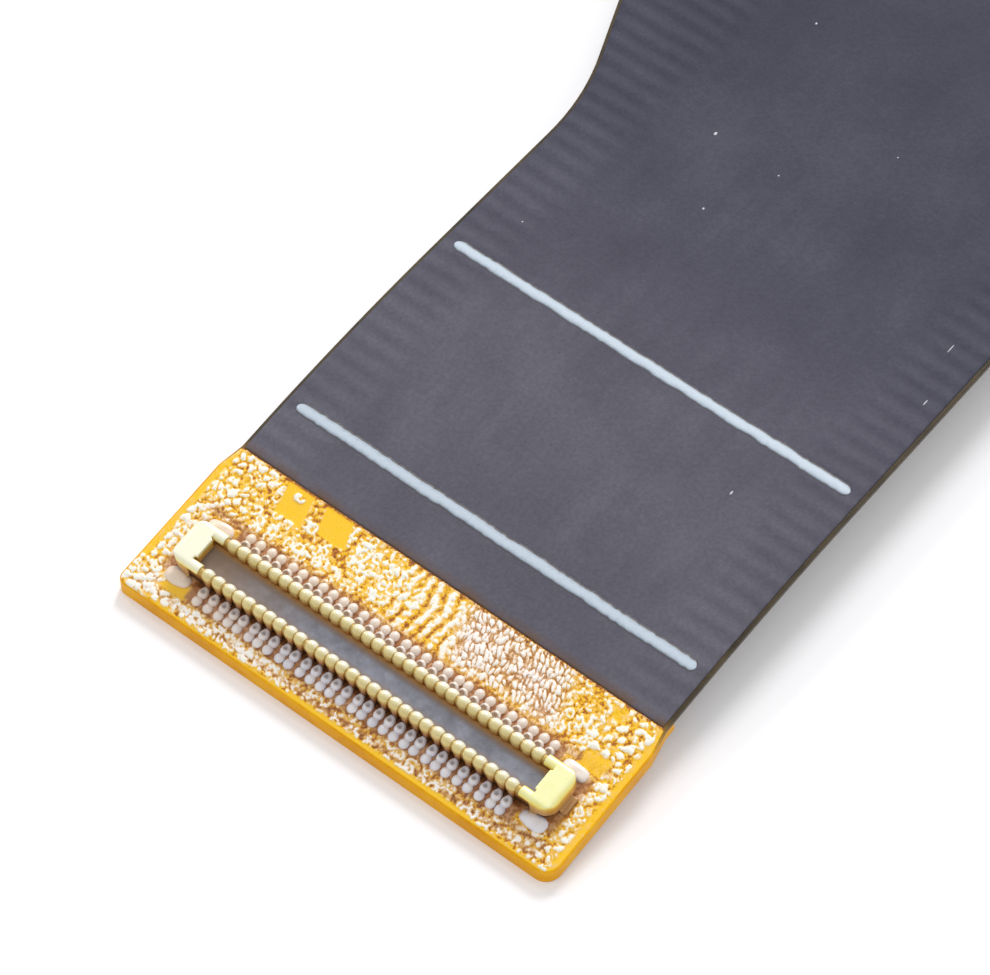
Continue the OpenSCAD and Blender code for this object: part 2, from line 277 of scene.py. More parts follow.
class Shader:
    """A small wrapper that adds nodes to one material."""

    def __init__(self, name):
        self.material = bpy.data.materials.new(name)
        self.material.use_nodes = True
        self.tree = self.material.node_tree
        self.nodes = self.tree.nodes
        self.bsdf = self.nodes["Principled BSDF"]

    def add(self, kind, **settings):
        node = self.nodes.new(kind)
        for key, value in settings.items():
            setattr(node, key, value)
        return node

    def link(self, a, b):
        self.tree.links.new(a, b)
        return b.node

    def coords(self, scale=(1, 1, 1)):
        """Object coordinates in millimetres."""
        where = self.add("ShaderNodeTexCoord")
        mapping = self.add("ShaderNodeMapping")
        mapping.inputs["Scale"].default_value = [s / MM for s in scale]
        self.link(where.outputs["Object"], mapping.inputs["Vector"])
        return mapping.outputs["Vector"]

    def noise(self, vector, scale, detail=3.0, rough=0.55):
        node = self.add("ShaderNodeTexNoise")
        node.inputs["Scale"].default_value = scale
        node.inputs["Detail"].default_value = detail
        node.inputs["Roughness"].default_value = rough
        self.link(vector, node.inputs["Vector"])
        return node.outputs["Fac"]

    def wave(self, vector, scale, distortion=1.0, detail=1.0):
        node = self.add("ShaderNodeTexWave")
        node.inputs["Scale"].default_value = scale
        node.inputs["Distortion"].default_value = distortion
        node.inputs["Detail"].default_value = detail
        self.link(vector, node.inputs["Vector"])
        return node.outputs["Fac"]

    def math(self, operation, a, b=0.5):
        node = self.add("ShaderNodeMath", operation=operation)
        for socket, value in zip(node.inputs, (a, b)):
            if isinstance(value, (int, float)):
                socket.default_value = value
            else:
                self.link(value, socket)
        return node.outputs[0]

    def attribute(self, name):
        return self.add("ShaderNodeAttribute", attribute_name=name).outputs["Fac"]

    def colours(self, value, *stops):
        """A colour ramp from stops, each a position and its 0-255 values."""
        node = self.add("ShaderNodeValToRGB")
        elements = node.color_ramp.elements
        while len(elements) < len(stops):
            elements.new(0.5)
        for element, (position, *colour) in zip(elements, stops):
            element.position = position
            element.color = linear(*colour)
        self.link(value, node.inputs["Fac"])
        return node.outputs["Color"]

    def range(self, value, low, high, to_low, to_high):
        node = self.add("ShaderNodeMapRange")
        self.link(value, node.inputs["Value"])
        limits = {"From Min": low, "From Max": high, "To Min": to_low, "To Max": to_high}
        for key, number in limits.items():
            node.inputs[key].default_value = number
        return node.outputs["Result"]

    def mix(self, value, a, b):
        node = self.add("ShaderNodeMix", data_type="RGBA")
        for socket, item in zip((node.inputs[0], node.inputs[6], node.inputs[7]), (value, a, b)):
            if isinstance(item, (int, float, tuple)):
                socket.default_value = item
            else:
                self.link(item, socket)
        return node.outputs[2]

    def total(self, *terms):
        """The sum of values, each times its share."""
        parts = [self.math("MULTIPLY", value, share) for value, share in terms]
        whole = parts[0]
        for part in parts[1:]:
            whole = self.math("ADD", whole, part)
        return whole

    def varied(self, value, noise, share):
        """The value with noise about 0.5 added to it."""
        return self.math("ADD", value, self.math("MULTIPLY", self.math("SUBTRACT", noise, 0.5), share))

    def bump(self, height, distance, normal=None):
        """Bump whose distance is in millimetres."""
        node = self.add("ShaderNodeBump")
        node.inputs["Strength"].default_value = 1.0
        node.inputs["Distance"].default_value = distance * MM
        self.link(height, node.inputs["Height"])
        if normal is not None:
            self.link(normal, node.inputs["Normal"])
        return node.outputs["Normal"]

    def axis(self, name):
        """One of the object coordinates in millimetres."""
        parts = self.add("ShaderNodeSeparateXYZ")
        self.link(self.coords(), parts.inputs[0])
        return parts.outputs[name]

    def off_middle(self):
        """Distance in millimetres from the plugs' line, towards the flared edge."""
        return self.math("SUBTRACT", self.axis("Y"), CENTRE_Y)

    def tilted(self, x_share, z_share, offset):
        """Shares of the distance from X = 0 and of the height, plus an offset, in millimetres."""
        sideways = self.math("MULTIPLY", self.math("ABSOLUTE", self.axis("X")), x_share)
        upward = self.math("MULTIPLY_ADD", self.axis("Z"), z_share)
        upward.node.inputs[2].default_value = offset
        return self.math("ADD", sideways, upward)

    def plug_height(self):
        """Height in millimetres above the circuit's top at either stiff end."""
        return self.tilted(math.sin(TILT), math.cos(TILT), -(TOE_X * math.sin(TILT) + BOARD_T))

    def plug_across(self):
        """Distance in millimetres from the plug's middle line, larger towards the cable's middle."""
        return self.tilted(-math.cos(TILT), math.sin(TILT), TOE_X * math.cos(TILT) - PLUG_POS)

    def surface(self, colour, noise, roughness, bump, **values):
        """Sets the colour, then the roughness and the fine bump from one noise."""
        self.set(Base_Color=colour, Roughness=self.range(noise, 0.3, 0.7, *roughness), Normal=self.bump(noise, bump))
        self.set(**values)
        return self.material

    def set(self, **values):
        for key, value in values.items():
            socket = self.bsdf.inputs[key.replace("_", " ")]
            if isinstance(value, (int, float, tuple)):
                socket.default_value = value
            else:
                self.link(value, socket)


# ---- finishes ------------------------------------------------------------------------------

def amber_finish():
    """Amber polyimide, with the shield's dark edge along the covered part of the circuit."""
    s = Shader("amber_polyimide")
    at = s.coords()
    cloud, fine = s.noise(at, 0.9, 4), s.noise(at, 14, 3)
    tone = s.total((cloud, 0.7), (fine, 0.3))
    amber = s.colours(tone, (0.3, 220, 146, 0), (0.5, 240, 170, 2), (0.72, 250, 192, 10))
    covered = s.colours(tone, (0.3, 54, 47, 38), (0.7, 92, 80, 58))
    colour = s.mix(s.attribute("covered"), amber, covered)
    return s.surface(colour, fine, (0.3, 0.44), 0.004, Specular_IOR_Level=0.15)


def relief_finish():
    """Clear amber cover over copper traces, golden on the slopes, with painted shade in the brown hollows and painted
    highlights on the pale crests.
    """
    s = Shader("gold_relief")
    fine = s.noise(s.coords(), 16, 3)
    tone = s.varied(s.attribute("tone"), fine, s.attribute("rough"))
    golden = s.colours(tone, (0.0, 140, 78, 22), (0.16, 200, 122, 28), (0.34, 255, 202, 8),
                       (0.48, 250, 200, 100), (0.6, 252, 228, 176), (0.72, 255, 252, 240))
    blush = s.colours(tone, (0.0, 120, 70, 36), (0.2, 170, 112, 66), (0.4, 204, 156, 112),
                      (0.6, 240, 206, 176), (0.78, 254, 248, 242))
    colour = s.mix(s.attribute("blush"), golden, blush)
    return s.surface(colour, fine, (0.16, 0.34), 0.008, Specular_IOR_Level=0.35, Coat_Weight=0.25, Coat_Roughness=0.1)


def shield_finish():
    """Slate grey shield film with faint ribs of the traces below it."""
    s = Shader("slate_shield")
    at = s.coords()
    grain, cloud = s.noise(at, 7, 4, 0.75), s.noise(at, 0.35, 3)
    ribs = s.wave(s.coords(scale=(0.02, 1, 1)), 1.3, 2.2, 3)
    hatch = s.wave(s.coords(scale=(0.7071, 0.7071, 1)), 0.62, 1.0, 2)
    edge = s.range(s.math("ABSOLUTE", s.off_middle()), 5.6, 6.6, 0, 1)
    height = s.total((ribs, s.math("SUBTRACT", 1, edge)), (hatch, edge))
    tone = s.total((grain, 0.5), (cloud, 0.4), (height, 0.1))
    middle = s.colours(tone, (0.32, 58, 58, 72), (0.5, 68, 68, 82), (0.68, 80, 80, 94))
    ends = s.colours(tone, (0.32, 92, 90, 101), (0.5, 103, 101, 112), (0.68, 116, 114, 124))
    slate = s.mix(s.range(s.math("ABSOLUTE", s.axis("X")), 30, 50, 0, 1), middle, ends)
    # browner in soft patches near the film's front edge
    front_brown = s.math("MULTIPLY", s.attribute("front"), s.range(s.noise(at, 1.1, 3), 0.35, 0.65, 0.15, 1.0))
    slate = s.mix(front_brown, slate, linear(112, 88, 70))
    s.set(Base_Color=s.mix(s.attribute("speck"), slate, linear(206, 206, 212)), Specular_IOR_Level=0.06,
          Roughness=s.range(grain, 0.3, 0.7, 0.42, 0.55), Normal=s.bump(height, 0.02, s.bump(grain, 0.016)))
    return s.material


def ink_finish():
    """Raised pale ink, paler along its crest as a painted highlight, greyer on its flanks as painted shade, with a
    dark painted shadow along its edges.
    """
    s = Shader("pale_ink")
    grain = s.noise(s.coords(), 6, 4)
    # the crest is paler as a painted highlight and the flanks greyer as painted shade
    tone = s.total((s.attribute("crest"), 0.8), (grain, 0.3))
    colour = s.colours(tone, (0.3, 112, 114, 124), (0.62, 158, 172, 186), (0.9, 192, 205, 218))
    # the dark edge is a painted shadow along the line's edges
    return s.surface(s.mix(s.attribute("fringe"), colour, linear(54, 44, 42)), grain, (0.4, 0.55), 0.01)


def moulding_finish():
    """Blue-grey moulding with faint flow clouds, browner towards the flared side, with a painted gold reflection on
    its walls that darkens to painted shade at their foot, and painted shade and a painted gold reflection on the
    floor beside the walls.
    """
    s = Shader("moulding")
    at = s.coords()
    cloud, grain = s.noise(at, 1.6, 4, 0.6), s.noise(at, 26, 3)
    tone = s.total((cloud, 0.75), (grain, 0.25))
    floor = s.colours(tone, (0.3, 122, 126, 140), (0.5, 152, 158, 176), (0.7, 180, 188, 210))
    # the walls carry a painted gold reflection that darkens to painted shade towards their foot
    walls = s.colours(s.plug_height(), (0.08, 50, 30, 18), (0.3, 150, 96, 36), (0.45, 190, 136, 56),
                      (0.6, 206, 172, 92))
    floor = s.mix(s.range(s.off_middle(), 2.0, 5.8, 0, 0.85), floor, linear(156, 132, 106))
    aside = s.math("ABSOLUTE", s.plug_across())
    # beside the walls the floor turns browner and then golden: painted shade and a painted reflection of the gold
    floor = s.mix(s.range(aside, 0.16, 0.32, 0, 0.8), floor, linear(154, 132, 114))
    floor = s.mix(s.range(aside, 0.3, 0.44, 0, 0.9), floor, linear(196, 144, 62))
    return s.surface(s.mix(s.attribute("wall"), floor, walls), grain, (0.4, 0.55), 0.004)


def gold_finish():
    """Gold plate, with a painted highlight on the inward side of each wall top, paler towards the top and darker down
    the legs to the foot as painted shade.
    """
    s = Shader("gold_plate")
    at = s.coords()
    cloud, fine = s.noise(at, 3.0, 3), s.noise(at, 30, 3)
    rise = s.varied(s.plug_height(), cloud, 0.14)
    # the colour follows the height: pale at the top, with painted shade darkening down the legs to near black at the
    # foot
    colour = s.colours(rise, (0.08, 74, 42, 18), (0.26, 146, 88, 34), (0.44, 204, 142, 58),
                       (0.56, 216, 184, 104), (0.7, 226, 206, 138), (0.8, 232, 218, 160))
    across = s.plug_across()
    past = s.math("SUBTRACT", across, s.math("MULTIPLY", s.math("SIGN", across), ROW_GAP / 2))
    # a painted highlight on the inward side of each bead top
    inward_highlight = s.math("MULTIPLY", s.range(past, -0.06, 0.08, 0, 1), s.range(rise, 0.48, 0.66, 0, 1))
    return s.surface(s.mix(inward_highlight, colour, linear(255, 251, 226)), fine, (0.16, 0.3), 0.003, Metallic=0.25)


def fitting_finish():
    """Paler plate of the hold-downs, browner down their sides as painted shade, with a near-white painted highlight
    on the tops towards positive Y.
    """
    s = Shader("fitting_gold")
    at = s.coords()
    cloud, fine = s.noise(at, 2.2, 3), s.noise(at, 24, 3)
    rise = s.varied(s.plug_height(), cloud, 0.12)
    # browner down the sides as painted shade
    colour = s.colours(rise, (0.08, 190, 146, 96), (0.35, 206, 158, 90), (0.56, 226, 180, 70),
                       (0.7, 250, 238, 130), (0.78, 255, 253, 190))
    # a near-white painted highlight on the tops towards positive Y
    top_highlight = s.math("MULTIPLY", s.range(s.axis("Y"), 0, 1, 0, 0.65), s.range(rise, 0.62, 0.76, 0, 1))
    return s.surface(s.mix(top_highlight, colour, linear(255, 254, 244)), fine, (0.28, 0.42), 0.004, Metallic=0.2)


def solder_finish():
    """Bright solder, warmer towards the flared side and the cable's middle, with its dimples darkened by a painted
    blue-grey reflection on the toe side and painted brown shade on the side of the cable's middle.
    """
    s = Shader("solder")
    at = s.coords()
    cloud, fine = s.noise(at, 2.5, 3), s.noise(at, 20, 4)
    colour = s.colours(cloud, (0.3, 222, 222, 232), (0.55, 240, 238, 244), (0.75, 252, 250, 250))
    colour = s.mix(s.range(s.off_middle(), 2.0, 7.0, 0, 0.75), colour, linear(244, 220, 190))
    inward = s.plug_across()
    colour = s.mix(s.range(inward, 0.6, 0.9, 0, 0.5), colour, linear(252, 236, 214))
    colour = s.mix(s.range(inward, 1.08, 1.3, 0, 0.35), colour, linear(236, 212, 186))
    # in the dimples: a blue-grey painted reflection on the toe side, painted brown shade on the side of the cable's
    # middle
    deep = s.math("ADD", s.attribute("dimple"), s.range(inward, -0.1, 0.1, 0, 0.3))
    hollow = s.mix(s.range(inward, -0.1, 0.1, 0, 1), linear(138, 140, 152), linear(150, 118, 86))
    colour = s.mix(s.range(deep, 0.45, 0.85, 0, 0.9), colour, hollow)
    return s.surface(colour, fine, (0.24, 0.4), 0.004, Metallic=0.1)


FINISHES = {}


def finish(name):
    if name not in FINISHES:
        makers = {"amber": amber_finish, "relief": relief_finish, "shield": shield_finish, "ink": ink_finish,
                  "moulding": moulding_finish, "gold": gold_finish, "fitting": fitting_finish,
                  "solder": solder_finish}
        FINISHES[name] = makers[name]()
    return FINISHES[name]


# ---- settings ------------------------------------------------------------------------------

class CableSettings(bpy.types.PropertyGroup):
    """Sizes of the dressed pieces that a user would change."""
    relief_height: bpy.props.FloatProperty(
        name="Relief height", description="Height of the copper relief on the bare ends, in mm",
        default=0.06, min=0.0, max=0.1)
    relief_step: bpy.props.FloatProperty(
        name="Relief step", description="Mesh step of the relief, in mm", default=0.04, min=0.03, max=0.2)
    contact_width: bpy.props.FloatProperty(
        name="Contact width", description="Width of one contact, in mm", default=0.335, min=0.2, max=0.36)
    contact_wobble: bpy.props.FloatProperty(
        name="Contact wobble", description="Random turn of each contact", default=0.03, min=0.0, max=0.2)
    seed: bpy.props.IntProperty(name="Seed", description="Fixed seed of what is random", default=11)


# ---- strip pieces --------------------------------------------------------------------------

class CABLE_OT_circuit(bpy.types.Operator):
    """Makes the flexible circuit as one band with softened edges"""
    bl_idname = "flex_cable.circuit"
    bl_label = "Circuit"

    def execute(self, context):
        total = 2 * HALF_LEN
        bends = [r * (1 - np.cos(np.linspace(0.35, math.pi / 2, 9))) for r in (TOE_R, FLARED_TOE_R)]
        near = np.concatenate([[0, 0.03], *bends,
                               np.arange(1.0, BARE - EAR_TAPER, 0.6), [BARE - EAR_TAPER, BARE, STIFF_LEN]])
        curve = STIFF_LEN + np.linspace(0, BEND_LEN, 17)[1:]
        flare = STIFF_LEN + BEND_LEN + FLARE_GAP + np.linspace(0, 16, 41)
        half = np.concatenate([near, curve, flare, np.arange(flare[-1] + 2, HALF_LEN, 3.0), [HALF_LEN]])
        half = np.unique(np.round(half, 5))
        u = np.concatenate([half, total - half[-2::-1]])
        soft, under = 0.03, 0.006
        from_end = np.minimum(u, total - u)
        left = np.where(from_end < BARE + 0.01, end_half(u, FLARED_TOE_R), flare_side(u))
        right = end_half(u)
        rings = []
        for i in range(len(u)):
            pull = soft if from_end[i] < soft / 2 else 0.0
            lefty, righty = left[i] - pull, pull - right[i]
            ring = []
            for y, v, r, start in ((lefty, 0.0, under, -90), (lefty, FLEX_T - pull, soft, 0),
                                   (righty, FLEX_T - pull, soft, 90), (righty, 0.0, under, 180)):
                cy = y - r if y > 0 else y + r
                cv = v + r if v == 0 else v - r
                for a in np.radians(start + np.linspace(0, 90, 4)):
                    ring.append((cy + r * math.cos(a), cv + r * math.sin(a)))
            rings.append(ring)
        rings = np.array(rings)
        count = rings.shape[1]
        U = np.repeat(u, count)
        V = rings[:, :, 1].ravel()
        lean = (FLEX_T - V) * math.tan(TILT) * np.clip(1 - np.minimum(U, total - U) / 1.5, 0, 1)
        U = np.where(U < HALF_LEN, U - lean, U + lean)
        verts = on_strip(U, rings[:, :, 0].ravel(), V)
        faces = [list(f) for f in grid_faces(len(u), count, wrap=True)]
        faces.append(list(range(count))[::-1])
        faces.append([len(verts) - count + i for i in range(count)])
        obj = make_object("circuit", verts, faces)
        point_values(obj.data, covered=ramp(np.repeat(from_end, count), BARE - 0.3, BARE + 0.1))
        recalculated(obj.data)
        sharp_by_angle(obj.data, 50)
        finished(obj, finish("amber"), ["flex_circuit"])
        for name in ("stiffener_near", "stiffener_far"):
            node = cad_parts[name]
            node.data.materials.clear()
            node.data.materials.append(finish("amber"))
        return {"FINISHED"}


# Place along the circuit, place across it, length and width of each speck on the shield, in mm.
SPECKS = ((29.8, 4.13, 0.1, 0.07), (24.08, 3.91, 0.15, 0.1), (21.41, 2.38, 0.09, 0.07),
          (23.95, 1.32, 0.06, 0.06), (17.45, 6.5, 0.06, 0.05), (13.27, -4.83, 0.16, 0.06),
          (21.77, -6.87, 0.4, 0.035), (19.62, -7.45, 0.25, 0.04), (26.9, -1.2, 0.05, 0.05),
          (33.0, 6.1, 0.06, 0.05))


class CABLE_OT_shield(bpy.types.Operator):
    """Makes the shield film that lies on the circuit"""
    bl_idname = "flex_cable.shield"
    bl_label = "Shield film"

    def execute(self, context):
        total = 2 * HALF_LEN
        u = np.concatenate([[BARE, BARE + 0.02, BARE + 0.06], np.arange(BARE + 0.35, total - BARE - 0.1, 0.5),
                            [total - BARE - 0.06, total - BARE - 0.02, total - BARE]])
        across = np.linspace(0, 1, 61)
        across = np.concatenate([[0, 0.0015, 0.004], across[1:-1], [0.996, 0.9985, 1]])
        U, T = np.meshgrid(u, across, indexing="ij")
        left = flare_side(U, FILM_MARGIN)
        right = -(STRIP_HALF - FILM_MARGIN)
        Y = right + (left - right) * T
        sway = 0.006 * (waves(U, Y, 0.9, 2.0) - 0.5)
        edge = np.minimum(np.minimum(T, 1 - T) * 16, np.minimum(U - BARE, total - BARE - U))
        thick = FILM_T * np.where(edge <= 0, 0.55, np.where(edge < 0.03, 0.85, 1.0)) + sway * ramp(edge, 0.0, 0.6)
        top = on_strip(U, Y, FLEX_T + thick).reshape(-1, 3)
        under = on_strip(U, Y, FLEX_T - 0.002).reshape(-1, 3)
        rows, cols = U.shape
        faces = [list(f) for f in grid_faces(rows, cols)]
        faces += [list(f[::-1]) for f in grid_faces(rows, cols, start=rows * cols)]
        rim = [i * cols for i in range(rows)] + [(rows - 1) * cols + j for j in range(1, cols)]
        rim += [i * cols + cols - 1 for i in range(rows - 2, -1, -1)] + list(range(cols - 2, 0, -1))
        n = rows * cols
        for a, b in zip(rim, rim[1:] + rim[:1]):
            faces.append([a, b, b + n, a + n])
        verts, speck, base = [top, under], [np.zeros(2 * n)], 2 * n
        for at, y, long, wide in SPECKS:
            for u_at in (at, total - at):
                v, f = lobe_mesh(long, wide, 0.012)
                verts.append(on_strip(u_at + v[:, 0], y + v[:, 1], FLEX_T + FILM_T - 0.003 + v[:, 2]))
                faces += [[base + i for i in face] for face in f]
                speck.append(np.ones(len(v)))
                base += len(v)
        obj = make_object("shield", np.concatenate(verts), faces)
        front = 1 - np.clip(np.minimum(U - BARE, total - BARE - U) / 0.35, 0, 1).ravel()
        point_values(obj.data, speck=np.concatenate(speck),
                     front=np.concatenate([front, front, np.zeros(base - 2 * n)]))
        recalculated(obj.data)
        sharp_by_angle(obj.data, 40)
        finished(obj, finish("shield"), ["shield_film"])
        return {"FINISHED"}


class CABLE_OT_lines(bpy.types.Operator):
    """Makes the raised lines of ink across the shield"""
    bl_idname = "flex_cable.lines"
    bl_label = "Printed lines"

    def execute(self, context):
        for number, at in ((1, LINE_1), (2, LINE_1 + LINE_STEP)):
            reach, half = STRIP_HALF - 0.5, LINE_W / 2
            y = np.concatenate([-reach + half * (1 - np.cos(np.linspace(0, math.pi / 2, 7))),
                                np.arange(-reach + 0.2, reach - 0.15, 0.05),
                                reach - half * (1 - np.cos(np.linspace(math.pi / 2, 0, 7)))])
            end = np.minimum(y + reach, reach - y)
            width = half * np.sqrt(np.clip(1 - (1 - np.clip(end / half, 0, 1)) ** 2, 0, 1))
            seed = 20.0 + number
            sway = 0.018 * (waves(y, y * 0, 0.45, seed) - 0.5) * 2
            width = np.maximum(width * (1 + 0.2 * (waves(y, y * 0, 0.16, seed + 5) - 0.5)), 0.004)
            angle = np.linspace(0, math.pi, 9)
            spread = np.concatenate([[0.058, 0.046], angle * 0, [-0.034, -0.046]])
            round_top = np.concatenate([[0, 0], np.sin(angle), [0, 0]])
            angle = np.concatenate([[0, 0], angle, [math.pi, math.pi]])
            share = np.minimum(width / half, 1)[:, None]
            U = BARE + at + sway[:, None] + width[:, None] * np.cos(angle) + share * spread
            brim = np.array([-0.004] + [0.005] * 11 + [-0.004])
            lift = brim + 0.023 * share * round_top
            Y = np.repeat(y[:, None], len(angle), axis=1)
            top = on_strip(U, Y, FLEX_T + FILM_T + lift).reshape(-1, 3)
            rows, cols = U.shape
            faces = [list(f) for f in grid_faces(rows, cols)]
            for i in range(rows - 1):
                faces.append([i * cols + cols - 1, i * cols, (i + 1) * cols, (i + 1) * cols + cols - 1])
            faces.append(list(range(cols))[::-1])
            faces.append([(rows - 1) * cols + i for i in range(cols)])
            obj = make_object(f"ink_line_near_{number}", top, faces)
            # the crest paints a highlight on the top, and the edge values paint a shadow along both edges, darkest on
            # the side towards the cable's middle
            point_values(obj.data, crest=np.tile(round_top, len(y)),
                         fringe=np.tile([1, 1, 0.9] + [0] * 7 + [0.45, 0.5, 0.5], len(y)))
            recalculated(obj.data)
            finished(obj, finish("ink"), [f"line_near_{number}"])
            twin = far_copy(obj, f"ink_line_far_{number}")
            finished(twin, finish("ink"), [f"line_far_{number}"])
        return {"FINISHED"}


def box_share(u, y, u0, u1, y0, y1, soft=0.1, lean=0.0):
    """1 inside a box of the bare end and 0 outside it, with soft sides."""
    y = y - lean * (u - (u0 + u1) / 2)
    sides = ramp(u, u0, u0 + soft) * (1 - ramp(u, u1 - soft, u1))
    return sides * ramp(y, y0, y0 + soft) * (1 - ramp(y, y1 - soft, y1))


# Boxes of the bare end's pattern in mm, each with its strength before the limits of box_share.
SPARKLES = ((1, 0.02, 1.3, 6.9, 8.4, 0.15), (0.8, 0.1, 0.7, 1.9, 7.2, 0.12), (0.8, 1.0, 4.6, 7.3, 8.05, 0.12),
            (0.7, 0.8, 4.2, -8.1, -7.4, 0.12), (0.6, 3.7, 4.5, 1.0, 7.2, 0.3), (0.8, 4.2, 5.65, 0.2, 3.2, 0.4, 0.3))
WINDOWS = ((1, 4.7, 5.72, 3.4, 4.55, 0.08, 0.35), (0.8, 3.25, 4.1, -7.6, -6.6, 0.15),
           (0.7, 5.0, 5.6, -7.1, -6.4, 0.15, 0.4), (1, -1, 0.25, -5.3, 1.7, 0.1), (1, -1, 0.16, -9, 7.0, 0.08),
           (1, 0.5, 1.15, 5.9, 7.2, 0.2, -0.8))
SPLIT_WINDOW, SPLIT = (4.55, 5.72, 4.95, 6.05, 0.08, 0.25), (5.2, 5.5, 5.3, 5.75, 0.06)


def relief_pattern(u, y):
    """Height, tone, blush and roughness of the relief, each 0 to 1.

    u runs from the toe and y from the middle, in mm.
    """
    sway = 0.12 * (waves(u, y, 0.3, 4.0) - 0.5) + 0.13 * (waves(u, y, 0.12, 8.0) - 0.5)
    pits = 0.55 + 0.6 * ramp(waves(u, y, 0.085, 21.0), 0.1, 0.6)
    near, second, tag = cells(u + sway, y - sway, 0.3, 1.0)
    lumps = ramp(second - near, 0.04, 0.5) * (0.45 + 0.55 * tag)
    near, second, tag = cells(u - sway, y + sway, 0.17, 13.0)
    beads = np.clip(1.2 - near * 1.7, 0, 1) * (0.4 + 0.6 * tag)
    near, second, tag = cells(u + sway, y, 0.36, 31.0)
    hoops = np.exp(-((near - 0.36) / 0.13) ** 2) * (tag > 0.4)
    near, second, tag = cells(u, y * 1.15, 0.125, 47.0, 0.7)
    grains = np.clip(1.15 - near * 1.6, 0, 1) * (0.3 + 0.7 * tag)
    lean = y - 0.3 * (u - 4.6) + 0.05 * np.sin(u * 5 + y * 3)
    near, second, tag = cells((u + sway) / 1.9, lean, 0.165, 63.0)
    worms = ramp(second - near, 0.04, 0.42) * (0.5 + 0.5 * tag)
    drift = y + 0.07 * np.sin(u * 3.1 + y * 1.7) + 0.16 * (waves(u, y, 0.7, 9.0) - 0.5)
    ridge = 0.5 + 0.5 * np.cos(2 * math.pi * drift / 0.42)
    column = 0.5 + 0.5 * np.cos(2 * math.pi * (y + 0.05 * np.sin(u * 6)) / 0.4)

    # lumps at the corners, ridges and worms behind the plug, beads and hoops elsewhere
    behind = ramp(u, 3.5, 3.75)
    ridges = behind * box_share(u, y, 3.3, 6.2, -1.9, 1.7, 0.6, 0.3)
    fine = behind * box_share(u, y, 3.3, 6.6, -5.6, -0.7, 0.9, 0.3)
    corner = ramp(np.abs(y), 6.0, 6.8)
    h = np.maximum(0.75 * beads, 0.8 * hoops)
    h = h * (1 - corner) + corner * np.maximum(lumps, 0.6 * beads)
    h = h * (1 - ridges) + ridges * (0.55 * ridge * (0.6 + 0.4 * lumps) + 0.45 * beads)
    h = h * (1 - fine) + fine * np.maximum(worms, 0.7 * grains * column)
    h = h * pits
    patchy = waves(u, y, 0.8, 77.0)
    # the tone rises with the height: pale painted highlights on the crests, painted brown shade in the hollows
    tone = 0.06 + 1.2 * h + 0.08 * fine
    tone = tone + 0.16 * (patchy - 0.45) + 0.1 * ridges * (ridge - 0.5)
    blush = np.clip(0.85 * fine + 0.35 * (patchy - 0.5), 0, 1)

    # the toe's grainy strip, and a painted reddish-brown shadow round the plug
    across = np.abs(u - PLUG_POS)
    plug_shadow = (1 - ramp(across, 1.4, 1.75)) * (1 - ramp(np.abs(y), 7.5, 7.9))
    strip = box_share(u, y, 0.22, 0.5, -7.6, 7.8, 0.05)
    h = h * (1 - strip) + strip * np.maximum(grains, 0.5 * beads)
    blush = np.maximum(blush, 0.8 * plug_shadow * ramp(across, 1.2, 1.4))
    blush = np.maximum(blush, 0.7 * strip)
    # painted shadow: the tone is darkened round the plug
    tone = tone * (1 - 0.4 * plug_shadow * (1 - strip))

    # inside these boxes the bumps are raised and their white flecks are painted glints
    sparkle = np.maximum.reduce([share * box_share(u, y, *box) for share, *box in SPARKLES])
    glint_bumps = np.maximum(1.1 * lumps, 0.95 * beads) * pits
    h = h * (1 - sparkle) + sparkle * glint_bumps
    tone = np.maximum(tone, sparkle * (0.12 + 1.25 * glint_bumps))

    ears = ramp(np.abs(y), 7.95, 8.1) * (1 - box_share(u, y, -1, 1.2, 7, 9, 0.1))
    plain = np.maximum.reduce([
        *(share * box_share(u, y, *box) for share, *box in WINDOWS),
        box_share(u, y, *SPLIT_WINDOW) * (1 - box_share(u, y, *SPLIT)),
        ears * (0.8 + 0.2 * waves(u, y, 0.4, 5.0)),
    ])
    h = h * (1 - plain)
    tone = tone * (1 - plain) + 0.36 * plain
    blush = blush * (1 - plain)

    # flat and brown below the plug, painted shade in the gap under it, and dark at the shield's edge
    gap_shade = (1 - ramp(across, 0.86, 0.93)) * (1 - ramp(np.abs(y), 6.1, 6.3))
    seat = (1 - ramp(across, 1.36, 1.52)) * (1 - ramp(np.abs(y), 6.15, 6.3))
    seat = np.maximum(seat, (1 - ramp(across, 0.9, 1.2)) * (1 - ramp(np.abs(y), 7.3, 7.7)))
    h = h * (1 - seat)
    tone = (tone * (1 - 0.5 * seat) + 0.1 * seat) * (1 - gap_shade)
    blush = np.maximum(blush, seat)
    brim = ramp(u, BARE - 0.12, BARE - 0.05)
    tone = tone * (1 - 0.9 * brim)
    blush = blush * (1 - brim)
    rough = 0.6 * (1 - plain) * (1 - seat) + 0.12
    return [np.clip(v, 0, 1) for v in (h, tone, blush, rough)]


